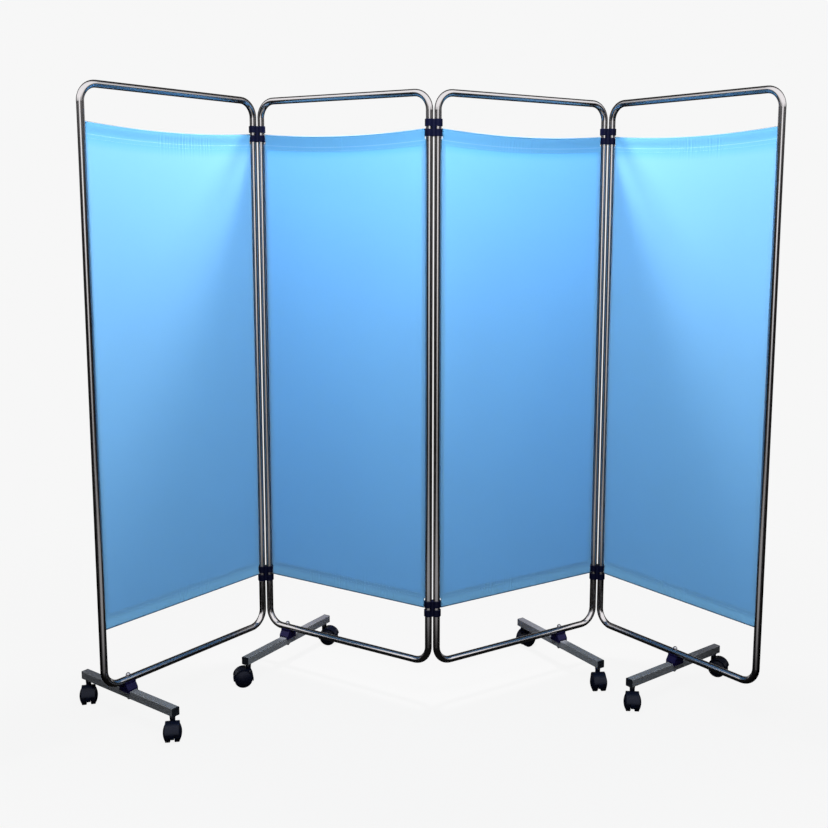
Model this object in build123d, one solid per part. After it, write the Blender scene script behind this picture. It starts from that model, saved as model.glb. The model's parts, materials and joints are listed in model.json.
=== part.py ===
from build123d import *
import os
from math import cos, radians, sin, sqrt

# A hospital privacy screen: four frames of bent tube, each with a cloth held between its posts on two
# wires, joined post to post by snap clips and standing on foot bars with twin-wheel casters.
# Lengths are in millimetres and turns in degrees. +Z is up, +X runs along the screen, +Y points away
# from the viewer, and the origin is on the floor under the middle of the whole screen.
# A panel is drawn with its left post on the Z axis and its right post along +X. A caster is drawn with
# its swivel axis on the Z axis, trailing along +X. A clip is drawn with its two posts along X.

# Frame tubes
post_spacing = 560.0
frame_height = 1530.0
bend_radius = 45.0
tube_d = 19.0
tube_wall = 1.2

# How the screen stands: each panel's turn, and each foot's place along its panel
panel_turns = (53.5, -31.0, 33.0, -51.5)
foot_place_shares = (0.13, 0.118, 0.77, 0.52)

# Hinge clips: the mouths at the back are a little narrower than the tube, so that they snap on
hinge_gap = 3.0
clip_height = 44.0
clip_wall = 2.4
clip_web_depth = 17.0
clip_waist = 10.0
clip_notch = 7.0
clip_edge = 0.9
clip_mouth_share = 0.72

# Cloth, with a hem pocket round each wire
cloth_top = 1555.0
cloth_bottom = 268.3
cloth_gap = 5.0
cloth_thickness = 1.6
hem_edge = 2.5
pocket_wall = 1.0
top_sag = 13.0

# Gathers in the hems: their stretch of the panel's width, and how far they fade into the cloth
gather_from_share = 0.275
gather_to_share = 0.58
gather_fade = 85.0
gather_depth = 1.2
gather_waves = 17

# Wires: each end turns down inside its post, and the clips leave room for it
wire_d = 2.5
hook_radius = 2.5
hook_tail = 7.0
clip_beyond_wire = 1.5

# Foot bars and their end plugs
foot_length = 381.0
bar_size = 22.0
bar_wall = 1.5
bar_corner = 2.0
plug_flange = 2.5
plug_insert = 28.0
plug_clearance = 0.2
plug_rim = 4.0
plug_recess = 0.9

# Saddle blocks
saddle_length = 31.0
saddle_base_width = 40.0
saddle_floor = 17.0
saddle_shoulder = 4.0
saddle_cheek = 1.8
saddle_wrap = 5.0
saddle_lip = 5.0
saddle_corner = 1.5

# Foot bolts and nuts
bolt_d = 6.0
bolt_hole_clearance = 0.25
head_d = 12.0
head_rim = 3.0
head_dome = 5.0
nut_across_flats = 10.0
nut_height = 5.0
bolt_beyond_nut = 3.0

# Casters
caster_height = 65.0
caster_from_end = 14.5
stem_d = 8.0
stem_in_bar = 16.0
stem_in_boss = 23.5
stem_hole_clearance = 0.25
collar_d = 15.0
collar_height = 7.0
end_gap = 0.3
running_clearance = 0.08
boss_d = 14.0
trail = 15.0
web_thickness = 11.0
web_above_floor = 16.0
hood_gap = 1.3
hood_wall = 1.7
hood_from = 10.0
hood_to = 195.0
wheel_d = 50.0
wheel_side_gap = 0.5
tread_width = 11.5
tread_edge = 1.0
dome_step = 2.0
dome_height = 6.5
axle_d = 6.0
axle_in_wheel = 13.0

# Where each caster trails, as the far and the near one of each foot, measured from +X
trail_turns = ((-75.0, -80.0), (-10.0, -165.0), (40.0, -85.0), (-30.0, -95.0))

# How far a cutting shape stands past what it cuts
overrun = 10.0

# Worked out from the sizes above
tube_r = tube_d / 2
bar_top = caster_height + bar_size
rail_z = bar_top + saddle_floor + tube_r
hinge_pitch = tube_d + hinge_gap
clip_bore_r = tube_r + running_clearance
clip_r = clip_bore_r + clip_wall
top_wire_z = cloth_top - hem_edge
bottom_wire_z = cloth_bottom + hem_edge
clip_heights = (top_wire_z + clip_beyond_wire, bottom_wire_z - clip_beyond_wire)
cloth_from = tube_r + cloth_gap
cloth_to = post_spacing - cloth_from
bolt_hole_r = bolt_d / 2 + bolt_hole_clearance
bar_length = foot_length - 2 * plug_flange
caster_reach = foot_length / 2 - caster_from_end
wheel_r = wheel_d / 2
collar_bottom = caster_height - collar_height
stem_bottom = collar_bottom - stem_in_boss
hood_inner_r = wheel_r + hood_gap
hood_r = hood_inner_r + hood_wall
wheel_inner_y = web_thickness / 2 + wheel_side_gap
hood_width = 2 * (wheel_inner_y + tread_width)
caster_sides = {"far": 1, "near": -1}


def upright(radius, bottom, top):
    """A round bar on the Z axis, from one height to another."""
    return Pos(0, 0, (bottom + top) / 2) * Cylinder(radius, top - bottom)


def dome_rise(reach, height):
    """How high a round dome stands at half its reach, when its middle is at the given height."""
    radius = (reach**2 + height**2) / (2 * height)
    return sqrt(radius**2 - reach**2 / 4) - (radius - height)


# Frame


def frame_loop():
    """The tube's centreline: a rectangle of the two posts and two rails, with round corners."""
    outline = RectangleRounded(post_spacing, frame_height, bend_radius)
    place = Plane.XZ * Pos(post_spacing / 2, rail_z + frame_height / 2)
    return (place * outline).face().outer_wire()


def frame(foot_x, wire_pair):
    """The bent tube, with its bolt hole in the bottom rail and the wires' holes in its posts."""
    loop = frame_loop()
    outside = rod(loop, tube_r)
    inside = rod(loop, tube_r - tube_wall)
    bolt_hole = Pos(foot_x, 0, 0) * upright(bolt_hole_r, rail_z - tube_r, rail_z + tube_r)
    return outside - inside - bolt_hole - wire_pair


# Wires and cloth


def wire_span(height, sag):
    """The line of a wire between the inner walls of the two posts, in the panel's own plane."""
    start = (tube_r - tube_wall, height)
    end = (post_spacing - tube_r + tube_wall, height)
    if sag:
        return ThreePointArc(start, (post_spacing / 2, height - sag), end)
    return Line(start, end)


def wire_path(height, sag):
    """One wire: across from post to post, with both ends turned down inside the posts."""
    span = wire_span(height, sag)
    slope = (span % 0).get_angle(Vector(1, 0, 0))
    left = JernArc(span @ 0, -(span % 0), hook_radius, 90 + slope)
    right = JernArc(span @ 1, span % 1, hook_radius, -90 - slope)
    tails = [Line(hook @ 1, hook @ 1 - Vector(0, hook_tail)) for hook in (left, right)]
    return Plane.XZ * Wire([tails[0], left, span, right, tails[1]])


def rod(path, radius):
    """A round rod along a path."""
    return sweep(Plane(origin=path @ 0, z_dir=path % 0) * Circle(radius), path=path)


def hem_pocket(height, sag):
    """The round pocket that a hem makes about its wire."""
    return rod(Plane.XZ * Wire([wire_span(height, sag)]), wire_d / 2 + pocket_wall)


def wires():
    """The two wires of a panel: the top one hangs in a shallow arc, and the bottom one is tight."""
    return Compound([
        rod(wire_path(top_wire_z, top_sag), wire_d / 2),
        rod(wire_path(bottom_wire_z, 0), wire_d / 2),
    ])


def cloth_outline():
    """The cloth seen square on: straight sides and bottom, and a top edge that sags like its wire."""
    left_top = (0, cloth_top)
    right_top = (post_spacing, cloth_top)
    top = ThreePointArc(left_top, (post_spacing / 2, cloth_top - top_sag), right_top)
    sides = Polyline(left_top, (0, cloth_bottom), (post_spacing, cloth_bottom), right_top)
    width = cloth_to - cloth_from
    strip = Pos(post_spacing / 2, cloth_top / 2) * Rectangle(width, 2 * cloth_top)
    return make_face([top, sides]) & strip


def gathered_edge(y, depth):
    """The cloth's line at one face, whose gathers are half waves bent in turn to each side."""
    start = post_spacing * gather_from_share
    half_wave = post_spacing * (gather_to_share - gather_from_share) / (2 * gather_waves)
    edges = [Line((cloth_from, y), (start, y))]
    for count in range(2 * gather_waves):
        left = start + count * half_wave
        right = left + half_wave
        bulge = depth if count % 2 else -depth
        if depth:
            edges.append(ThreePointArc((left, y), (left + half_wave / 2, y + bulge), (right, y)))
        else:
            edges.append(Line((left, y), (right, y)))
    return edges + [Line((right, y), (cloth_to, y))]


def cloth_section(height, depth):
    """The cloth cut level at one height, gathered to a depth."""
    near = gathered_edge(-cloth_thickness / 2, depth)
    far = gathered_edge(cloth_thickness / 2, depth)
    ends = [Line(near[0] @ 0, far[0] @ 0), Line(near[-1] @ 1, far[-1] @ 1)]
    return Pos(0, 0, height) * make_face(near + far + ends)


def cloth(wire_pair):
    """The sheet, deepest in its gathers at both hems, with its pockets and the wires' channels."""
    flat_from = cloth_bottom + gather_fade
    flat_to = cloth_top - top_sag - gather_fade
    heights = ((cloth_bottom, gather_depth), (flat_from, 0), (flat_to, 0), (cloth_top, gather_depth))
    sheet = loft([cloth_section(height, depth) for height, depth in heights], ruled=True)
    across = extrude(Plane.XZ * cloth_outline(), amount=overrun, both=True)
    pockets = hem_pocket(top_wire_z, top_sag) + hem_pocket(bottom_wire_z, 0)
    return ((sheet + pockets) & across) - wire_pair


# Hinge clips


def clip():
    """Two rings joined by a web, open at the back, and notched at both sides for the hem wires."""
    centres = (-hinge_pitch / 2, hinge_pitch / 2)
    mouth = tube_d * clip_mouth_share
    block = Box(hinge_pitch, clip_web_depth, clip_height)
    for x in centres:
        block += Pos(x, 0, 0) * Cylinder(clip_r, clip_height)
    block = chamfer(block.faces().filter_by(Axis.Z).edges(), clip_edge)
    for x in centres:
        side = 1 if x > 0 else -1
        block -= Pos(x, 0, 0) * Cylinder(clip_bore_r, clip_height)
        block -= Pos(x, clip_r, 0) * Box(mouth, 2 * clip_r, clip_height)
        block -= Pos(side * (clip_waist / 2 + clip_r), 0, 0) * Box(2 * clip_r, 3 * clip_r, clip_notch)
    return block


# Feet


def saddle():
    """The block between the rail and the bar: a tapering profile, a channel below, a groove above."""
    lip_z = bar_top - saddle_lip
    shoulder_z = bar_top + saddle_shoulder
    rail_bottom = rail_z - tube_r
    base = saddle_base_width / 2
    cheek = tube_r + saddle_cheek
    top = rail_bottom + saddle_wrap
    half = [(base, lip_z), (base, shoulder_z), (cheek, rail_bottom), (cheek, top)]
    outline = half + [(-y, z) for y, z in reversed(half)]
    profile = Plane.YZ * make_face(Polyline(*outline, close=True))
    block = extrude(profile, amount=saddle_length / 2, both=True)
    block = fillet(block.edges().filter_by(Axis.Z).group_by(SortBy.LENGTH)[-1], saddle_corner)
    block -= Pos(0, 0, lip_z) * Box(bar_size, saddle_base_width, 2 * saddle_lip)
    block -= Pos(0, 0, rail_z) * Rot(0, 90, 0) * Cylinder(tube_r, saddle_length)
    return block - upright(bolt_hole_r, bar_top, rail_z)


def bar_section(size, corner, length):
    """A square bar with round edges, lying along Y under its top face's height."""
    flat = Plane.XZ * RectangleRounded(size, size, corner)
    return Pos(0, 0, bar_top - bar_size / 2) * extrude(flat, amount=length / 2, both=True)


def foot_bar():
    inner_size = bar_size - 2 * bar_wall
    bar = bar_section(bar_size, bar_corner, bar_length)
    bar -= bar_section(inner_size, bar_corner - bar_wall, bar_length)
    bar -= upright(bolt_hole_r, caster_height, bar_top)
    for side in caster_sides.values():
        hole = upright(stem_d / 2 + stem_hole_clearance, caster_height, caster_height + bar_wall)
        bar -= Pos(0, side * caster_reach, 0) * hole
    return bar


def end_plug(side):
    """A plug for one end of the bar: a flange with a shallow square recess, and a bored insert."""
    insert_size = bar_size - 2 * (bar_wall + plug_clearance)
    recess_size = bar_size - 2 * plug_rim
    flange = bar_section(bar_size, bar_corner, plug_flange)
    recess = bar_section(recess_size, bar_corner, plug_flange)
    insert = bar_section(insert_size, bar_corner - bar_wall, plug_insert)
    flange_y = side * (bar_length + plug_flange) / 2
    plug = Pos(0, flange_y, 0) * flange
    plug -= Pos(0, flange_y + side * (plug_flange - plug_recess), 0) * recess
    plug += Pos(0, side * (bar_length - plug_insert) / 2, 0) * insert
    stem_hole = upright(stem_d / 2, caster_height, caster_height + stem_in_bar)
    return plug - Pos(0, side * caster_reach, 0) * stem_hole


def foot_bolt():
    """The bolt through rail, saddle and bar, its head shaped to the rail, and its nut."""
    rail_top = rail_z + tube_r
    rim_z = rail_top + head_rim
    nut_bottom = caster_height - nut_height
    rim = [Line((0, rail_z), (head_d / 2, rail_z)), Line((head_d / 2, rail_z), (head_d / 2, rim_z))]
    dome_top = rim_z + head_dome
    middle = (head_d / 4, rim_z + dome_rise(head_d / 2, head_dome))
    dome = ThreePointArc((head_d / 2, rim_z), middle, (0, dome_top))
    head = revolve(Plane.XZ * make_face(rim + [dome, Line((0, dome_top), (0, rail_z))]), axis=Axis.Z)
    head -= Pos(0, 0, rail_z) * Rot(0, 90, 0) * Cylinder(tube_r, 2 * head_d)
    bolt = head + upright(bolt_d / 2, nut_bottom - bolt_beyond_nut, rim_z)
    hexagon = RegularPolygon(nut_across_flats / 2, 6, major_radius=False)
    nut = Pos(0, 0, nut_bottom) * extrude(hexagon, amount=nut_height)
    nut -= upright(bolt_d / 2, nut_bottom, caster_height)
    return [bolt, nut]


# Casters


def caster_stem():
    """The fixed stem: a collar under the bar, with a shank up into the plug and one down into the boss."""
    stem = upright(stem_d / 2, stem_bottom, caster_height + stem_in_bar)
    return stem + upright(collar_d / 2, collar_bottom, caster_height)


def caster_body():
    """The swivelling moulding: a web between the wheels, a hood over them and a boss for the stem."""
    wheel_centre = Pos(trail, 0, wheel_r)
    web = wheel_centre * Rot(90, 0, 0) * Cylinder(hood_r, web_thickness)
    web -= Pos(trail, 0, web_above_floor - wheel_r) * Box(2 * hood_r, hood_width, wheel_d)
    outer = CenterArc((0, 0), hood_r, hood_from, hood_to - hood_from)
    inner = CenterArc((0, 0), hood_inner_r, hood_from, hood_to - hood_from)
    rim = make_face([outer, inner, Line(outer @ 0, inner @ 0), Line(outer @ 1, inner @ 1)])
    hood = wheel_centre * extrude(Plane.XZ * rim, amount=hood_width / 2, both=True)
    boss = upright(boss_d / 2, stem_bottom, collar_bottom - end_gap)
    wheel_space = wheel_centre * Rot(90, 0, 0) * Cylinder(hood_inner_r, hood_width)
    wheel_space -= Pos(trail, 0, wheel_r) * Box(2 * hood_r, web_thickness, 2 * hood_r)
    body = web + hood + (boss - wheel_space)
    body -= upright(stem_d / 2 + running_clearance, stem_bottom - end_gap, collar_bottom)
    return body - axle()


def axle():
    half_length = wheel_inner_y + axle_in_wheel
    return Pos(trail, 0, wheel_r) * Rot(90, 0, 0) * Cylinder(axle_d / 2, 2 * half_length)


def wheel(side):
    """One wheel: a flat tread with rounded edges and a domed outer face, bored for the axle."""
    tread_end = wheel_inner_y + tread_width
    dome_r = wheel_r - dome_step
    bore_r = axle_d / 2 + running_clearance
    bore_end = wheel_inner_y + axle_in_wheel + end_gap
    rim = (tread_end, wheel_r)
    tread = Polyline((wheel_inner_y, bore_r), (wheel_inner_y, wheel_r), rim, (tread_end, dome_r))
    middle = (tread_end + dome_rise(dome_r, dome_height), dome_r / 2)
    dome = ThreePointArc((tread_end, dome_r), middle, (tread_end + dome_height, 0))
    bore = Polyline((tread_end + dome_height, 0), (bore_end, 0), (bore_end, bore_r), (wheel_inner_y, bore_r))
    profile = make_face(tread.edges() + [dome] + bore.edges())
    corners = profile.vertices().sort_by(Axis.Y)[-2:]
    solid = revolve(Plane.YZ * fillet(corners, tread_edge), axis=Axis.Y)
    return Pos(trail, 0, wheel_r) * Rot(0, 0, 90 - 90 * side) * solid


# Places


def along(turn, distance):
    return Vector(distance * cos(radians(turn)), distance * sin(radians(turn)))


def clip_turns():
    """Each clip's line halves the turns of the two panels that it joins."""
    return [(left + right) / 2 for left, right in zip(panel_turns, panel_turns[1:])]


def panel_places():
    """The places of the panels, from left to right, a hinge pitch from post to post."""
    places = []
    post = Vector(0, 0)
    for turn, next_clip in zip(panel_turns, clip_turns() + [0]):
        places.append(Pos(post.X, post.Y, 0) * Rot(0, 0, turn))
        post += along(turn, post_spacing) + along(next_clip, hinge_pitch)
    return places


def clip_places():
    """The places of the pairs of clips, each half a pitch beyond the right post of its left panel."""
    places = []
    for panel, turn, panel_turn in zip(panel_places(), clip_turns(), panel_turns):
        post = panel * Pos(post_spacing, 0, 0) * Rot(0, 0, turn - panel_turn)
        places.append(post * Pos(hinge_pitch / 2, 0, 0))
    return places


def caster_place(number, side):
    """The place of one caster: below the bar's end, turned to where it trails."""
    panel_turn = panel_turns[number]
    trail_turn = trail_turns[number][0 if side > 0 else 1]
    foot_x = post_spacing * foot_place_shares[number]
    under_bar = panel_places()[number] * Pos(foot_x, side * caster_reach, 0)
    return under_bar * Rot(0, 0, trail_turn - panel_turn)


def panel_nodes(number, wire_pair, sheet):
    """Every fixed piece of one panel, in its place."""
    foot_x = post_spacing * foot_place_shares[number]
    foot = Pos(foot_x, 0, 0)
    stems = [Pos(foot_x, side * caster_reach, 0) * caster_stem() for side in caster_sides.values()]
    pieces = {
        "frame": frame(foot_x, wire_pair),
        "cloth": sheet,
        "wires": wire_pair,
        "saddle": foot * saddle(),
        "foot_bar": foot * foot_bar(),
        "end_plugs": foot * Compound([end_plug(side) for side in caster_sides.values()]),
        "foot_bolt": foot * Compound(foot_bolt()),
        "caster_stems": Compound(stems),
    }
    place = panel_places()[number]
    return {f"panel_{number + 1}_{name}": place * piece for name, piece in pieces.items()}


def caster_nodes(number):
    """Every swivelling and rolling piece of one foot, in its place."""
    nodes = {}
    for name, side in caster_sides.items():
        place = caster_place(number, side)
        stem = f"caster_{number + 1}_{name}"
        nodes[f"{stem}_body"] = place * Compound([caster_body(), axle()])
        nodes[f"{stem}_wheel_a"] = place * wheel(1)
        nodes[f"{stem}_wheel_b"] = place * wheel(-1)
    return nodes


def clip_nodes():
    pair = Compound([Pos(0, 0, height) * clip() for height in clip_heights])
    return {f"clips_{n + 1}{n + 2}": place * pair for n, place in enumerate(clip_places())}


def screen():
    """All nodes in their places, before the origin is set."""
    wire_pair = wires()
    sheet = cloth(wire_pair)
    nodes = {}
    for number in range(len(panel_turns)):
        nodes.update(panel_nodes(number, wire_pair, sheet))
        nodes.update(caster_nodes(number))
    nodes.update(clip_nodes())
    return nodes


def origin_shift(nodes):
    """The move that puts the origin under the middle of the whole screen's box."""
    box = Compound(list(nodes.values())).bounding_box()
    middle = box.center()
    return Pos(-middle.X, -middle.Y, -box.min.Z)


nodes = screen()
shift = origin_shift(nodes)
os.makedirs("parts", exist_ok=True)
for name, shape in nodes.items():
    export_step(shift * shape, f"parts/{name}.step")
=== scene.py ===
import json
from math import cos, pi, radians, sin

import bpy
import numpy as np
from bpy.props import FloatProperty, FloatVectorProperty, PointerProperty
from bpy.types import NodeSocket, Operator, Panel, PropertyGroup
from mathutils import Matrix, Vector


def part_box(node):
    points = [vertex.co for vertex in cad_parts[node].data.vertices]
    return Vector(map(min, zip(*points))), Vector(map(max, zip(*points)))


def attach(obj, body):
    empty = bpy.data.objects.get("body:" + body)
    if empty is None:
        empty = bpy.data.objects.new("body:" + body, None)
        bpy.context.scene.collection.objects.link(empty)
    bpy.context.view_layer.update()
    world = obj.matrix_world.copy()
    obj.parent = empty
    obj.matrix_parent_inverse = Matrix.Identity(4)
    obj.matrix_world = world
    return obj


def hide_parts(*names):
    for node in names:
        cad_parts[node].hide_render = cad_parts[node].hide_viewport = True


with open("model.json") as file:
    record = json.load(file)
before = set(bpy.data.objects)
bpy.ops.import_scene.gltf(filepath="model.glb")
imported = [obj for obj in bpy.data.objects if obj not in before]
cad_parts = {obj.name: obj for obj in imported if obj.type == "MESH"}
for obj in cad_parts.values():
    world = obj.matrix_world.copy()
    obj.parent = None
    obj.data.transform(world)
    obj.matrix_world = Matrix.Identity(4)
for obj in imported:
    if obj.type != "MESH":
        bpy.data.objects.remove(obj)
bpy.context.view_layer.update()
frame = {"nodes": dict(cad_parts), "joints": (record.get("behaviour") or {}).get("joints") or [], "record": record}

bl_info = {
    "name": "Folding Ward Screen",
    "version": (1, 0, 0),
    "blender": (4, 5, 0),
    "location": "View3D > Sidebar > Ward Screen",
    "description": "Hangs the cloths of a folding ward screen, finishes its pieces and sets up the studio",
    "category": "Object",
}

PANELS = (1, 2, 3, 4)
PAIRS = ("12", "23", "34")
SIDES = ("far", "near")
WHEELS = ("a", "b")


# Where the panels stand

def hinge_place(name):
    """A joint's place in plan."""
    return np.array(next(joint["pos_m"] for joint in frame["joints"] if joint["name"] == name)[:2])


def mount_place(name):
    """A mount's place in plan."""
    return np.array(next(mount["pos_m"] for mount in frame["record"]["mounts"] if mount["name"] == name)[:2])


POSTS = {
    1: (mount_place("outer_post_left"), hinge_place("panel_1_in_clip_12")),
    2: (hinge_place("clip_12_on_panel_2"), hinge_place("clip_23_on_panel_2")),
    3: (hinge_place("panel_3_in_clip_23"), hinge_place("clip_34_on_panel_3")),
    4: (hinge_place("panel_4_in_clip_34"), mount_place("outer_post_right")),
}
CLOTH_LOW, CLOTH_HIGH = (corner.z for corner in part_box("panel_1_cloth"))


def post_spacing(panel):
    """How far apart a panel's two posts are."""
    left, right = POSTS[panel]
    return float(np.linalg.norm(right - left))


def in_panel(panel, across, up, out):
    """Places from a panel's own sizes: across from its left post, up from the floor, out to the viewer.

    The place is the left post plus across times the panel's direction plus out times its normal.
    """
    left, right = POSTS[panel]
    along = (right - left) / np.linalg.norm(right - left)
    normal = np.array((along[1], -along[0]))
    across, up, out = np.broadcast_arrays(across, up, out)
    plan = left + across[..., None] * along + out[..., None] * normal
    return np.concatenate((plan, up[..., None]), axis=-1)


# Settings that a user would change

def colour_setting(name, description, default):
    """A colour that a user can set."""
    return FloatVectorProperty(
        name=name, description=description, subtype="COLOR", size=3, min=0, max=1, default=default)


def length_setting(name, description, default):
    """A length that a user can set, in metres."""
    return FloatProperty(name=name, description=description, unit="LENGTH", default=default)


def share_setting(name, description, default):
    """A share from 0 to 1 that a user can set."""
    return FloatProperty(
        name=name, description=description, subtype="FACTOR", min=0, max=1, default=default)


class ClothSettings(PropertyGroup):
    """Sizes and colours of the four cloths."""
    colour: colour_setting("Cloth", "Colour of the woven cloth", (0.176, 0.416, 0.672))
    thread: colour_setting("Thread", "Colour of the sewing thread", (0.260, 0.520, 0.720))
    side_gap: length_setting("Side gap", "From a post's centre to the cloth's edge beside a clip", 0.0145)
    body_gap: length_setting("Body gap", "From a post's centre to the cloth's edge elsewhere", 0.0107)
    top: length_setting("Top", "Height of the top hem at the posts", CLOTH_HIGH)
    bottom: length_setting("Bottom", "Height of the bottom hem", CLOTH_LOW)
    sag: length_setting("Sag", "How far the top wire hangs down at its middle", 0.013)
    thickness: length_setting("Thickness", "Thickness of one layer of cloth", 0.0005)
    pocket: length_setting("Pocket", "Radius of a hem's fold about its wire", 0.00225)
    hem: length_setting("Hem", "Depth of the top and bottom hems", 0.041)
    seam: length_setting("Seam", "From a hem's fold to its pocket seam", 0.029)
    side_hem: length_setting("Side hem", "Width of the side hems", 0.012)
    gather: length_setting("Gather", "Depth of the puckers in the hems", 0.0005)
    billow: length_setting("Billow", "Depth of the broad waves of the cloth", 0.0020)
    translucency: share_setting("Translucency", "Share of the light that passes through", 0.45)


class MetalSettings(PropertyGroup):
    """Colours of the metal pieces."""
    # The tube's colour is its steel's, set darker still as painted shade that stands in for the dark reflections
    # of a dark room
    tube: colour_setting("Tube", "Colour of the polished frame tube", (0.258, 0.248, 0.252))
    tube_gloss: share_setting("Tube roughness", "Roughness of the polished tube", 0.17)
    bar: colour_setting("Foot bar", "Colour of the painted foot bars", (0.108, 0.113, 0.126))
    wire: colour_setting("Wire", "Colour of the plated wires", (0.500, 0.500, 0.510))
    bolt: colour_setting("Bolt", "Colour of the blackened bolts and nuts", (0.220, 0.220, 0.240))
    stem: colour_setting("Stem", "Colour of the blackened caster stems", (0.060, 0.060, 0.070))


class PlasticSettings(PropertyGroup):
    """Colours of the plastic pieces."""
    clip: colour_setting("Clip", "Colour of the hinge clips", (0.0015, 0.002, 0.010))
    saddle: colour_setting("Saddle", "Colour of the saddle blocks", (0.004, 0.003, 0.022))
    plug: colour_setting("Plug", "Colour of the end plugs", (0.005, 0.006, 0.009))
    hood: colour_setting("Hood", "Colour of the caster hoods", (0.0015, 0.0025, 0.008))
    wheel: colour_setting("Wheel", "Colour of the caster wheels", (0.0015, 0.002, 0.006))


class StudioSettings(PropertyGroup):
    """The floor, the lamps and the camera."""
    backdrop: colour_setting("Backdrop", "Colour of the floor and the background", (0.930, 0.930, 0.930))
    overhead: FloatProperty(
        name="Overhead lamp", description="Power of the lamp over the screen", unit="POWER", default=114)
    front: FloatProperty(
        name="Front lamp", description="Power of the soft lamp above and before the screen",
        unit="POWER", default=83)
    fill: FloatProperty(
        name="Fill", description="Brightness of the light from all round", default=0.02)
    bounce: share_setting("Bounce", "Share of the light that the floor throws back", 0.30)
    lens: FloatProperty(
        name="Lens", description="Focal length of the camera, in millimetres", unit="CAMERA",
        default=46.799)
    camera_place: FloatVectorProperty(
        name="Camera place", description="Where the camera stands", subtype="TRANSLATION", size=3,
        default=(0.085955, -2.899303, 1.344245))
    camera_turn: FloatVectorProperty(
        name="Camera turn", description="Pitch down, turn to the right and roll", subtype="EULER",
        size=3, default=(radians(8.066), radians(0.435), radians(0.322)))
    camera_shift: FloatVectorProperty(
        name="Camera shift", description="Shift of the picture, as shares of its width", size=2,
        default=(-0.04984, -0.06165))


# Meshes from arrays

def grid_faces(rows, columns):
    """The four-sided faces of a grid of points, counted row by row."""
    count = np.arange(rows * columns).reshape(rows, columns)
    corners = (count[:-1, :-1], count[:-1, 1:], count[1:, 1:], count[1:, :-1])
    return np.stack(corners, axis=-1).reshape(-1, 4)


def ring_faces(rings):
    """The four-sided faces between closed rings of points, whose numbers are given ring by ring."""
    following = np.roll(rings, -1, axis=1)
    return np.stack((rings[:-1], following[:-1], following[1:], rings[1:]), axis=-1).reshape(-1, 4)


def new_object(name, points, faces, material):
    """A new object at the origin from an array of points and a list of faces."""
    mesh = bpy.data.meshes.new(name)
    mesh.from_pydata(points.reshape(-1, 3).tolist(), [], faces)
    mesh.materials.append(material)
    item = bpy.data.objects.new(name, mesh)
    bpy.context.scene.collection.objects.link(item)
    return item


def cloth_piece(name, panel, points, faces, material):
    """A smooth new piece of a panel's cloth, which rides on the panel."""
    piece = new_object(f"{name}_{panel}", points, faces, material)
    piece.data.shade_smooth()
    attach(piece, f"panel_{panel}")
    return piece


def give_flat_map(mesh, flat):
    """The mesh's UV map: each point's place on the cloth as it was cut, in metres."""
    corner_points = np.empty(len(mesh.loops), np.int32)
    mesh.loops.foreach_get("vertex_index", corner_points)
    layer = mesh.uv_layers.new(name="flat_cloth")
    layer.data.foreach_set("uv", flat.reshape(-1, 2)[corner_points].astype(np.float32).ravel())


def give_mark(mesh, name, share):
    """A value from 0 to 1 at each point of the mesh, for its material."""
    mesh.attributes.new(name, "FLOAT", "POINT").data.foreach_set("value", share.astype(np.float32).ravel())


def thicken(piece, thickness):
    """Gives a sheet its thickness, half to each side."""
    solid = piece.modifiers.new("thickness", "SOLIDIFY")
    solid.thickness = thickness
    solid.offset = 0
    solid.use_even_offset = True


# The cloth's shape

CLOSED_HEM_SHARE = 0.6      # half the gap of a closed hem, in thicknesses of the cloth
CLIP_REACH = (0.0235, 0.0300)      # depths below a hem's fold, between which the edge leaves a clip's room
OUTER_SIDES = {1: -1, 4: 1}      # the outer panels' sides that have no clips: -1 is left and 1 right

TOP_GATHER_SHARES = {1: (0.42, 0.70), 2: (0.30, 0.68), 3: (0.32, 0.65), 4: (0.38, 0.71)}
BOTTOM_GATHER_SHARES = {1: (0.42, 0.65), 2: (0.27, 0.82), 3: (0.24, 0.62), 4: (0.38, 0.58)}
TOP_TURN, TOP_STRENGTH = 1.3, 1.0      # radians from panel to panel, and the puckers' relative depth
BOTTOM_TURN, BOTTOM_STRENGTH = 2.9, 1.4
GATHER_PITCHES = (0.0101, 0.0073, 0.0147)
GATHER_WEIGHTS = (0.60, 0.25, 0.35)
GATHER_END_SHARE = 0.22      # over which a gathered stretch fades at each end
GATHER_FADE = 0.022      # how far below the hem the puckers fade out
DRIFT_PITCH = 0.083
DRIFT_SHARE = 0.35
DRIFT_TURN = 2.3
AT_FOLD_SHARE = 0.45      # of their full depth, for the puckers at the fold
FULL_DEPTH_SHARE = 0.6      # of the way to the seam, where they reach their full depth

# Waves across a panel, waves up it, the turn from panel to panel, and the weight
BILLOW_WAVES = ((0.9, 0.55, 1.7, 0.7), (2.1, -0.80, 0.9, 0.3))


def ease(value, start, end):
    """A share that rises smoothly from 0 at start to 1 at end: 3 t squared less 2 t cubed."""
    t = np.clip((value - start) / (end - start), 0, 1)
    return t * t * (3 - 2 * t)


def top_edge(cloth, panel, across):
    """Height of the top hem's fold: the posts' height less a parabola that is sag deep at the middle."""
    middle = across / post_spacing(panel) * 2 - 1
    return cloth.top - cloth.sag * (1 - middle ** 2)


def hem_gap(cloth, depth):
    """Half the space between a hem's two layers, at a depth below its fold.

    It is a round fold of the pocket's radius, then a squared cosine down to the closed hem's half gap
    at the pocket seam, and stays there.
    """
    close = cloth.thickness * CLOSED_HEM_SHARE
    round_part = np.sqrt(np.clip(cloth.pocket ** 2 - np.clip(cloth.pocket - depth, 0, None) ** 2, 0, None))
    taper = np.cos(pi / 2 * np.clip((depth - cloth.pocket) / (cloth.seam - cloth.pocket), 0, 1)) ** 2
    return np.where(depth < cloth.pocket, round_part, close + (cloth.pocket - close) * taper)


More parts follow.
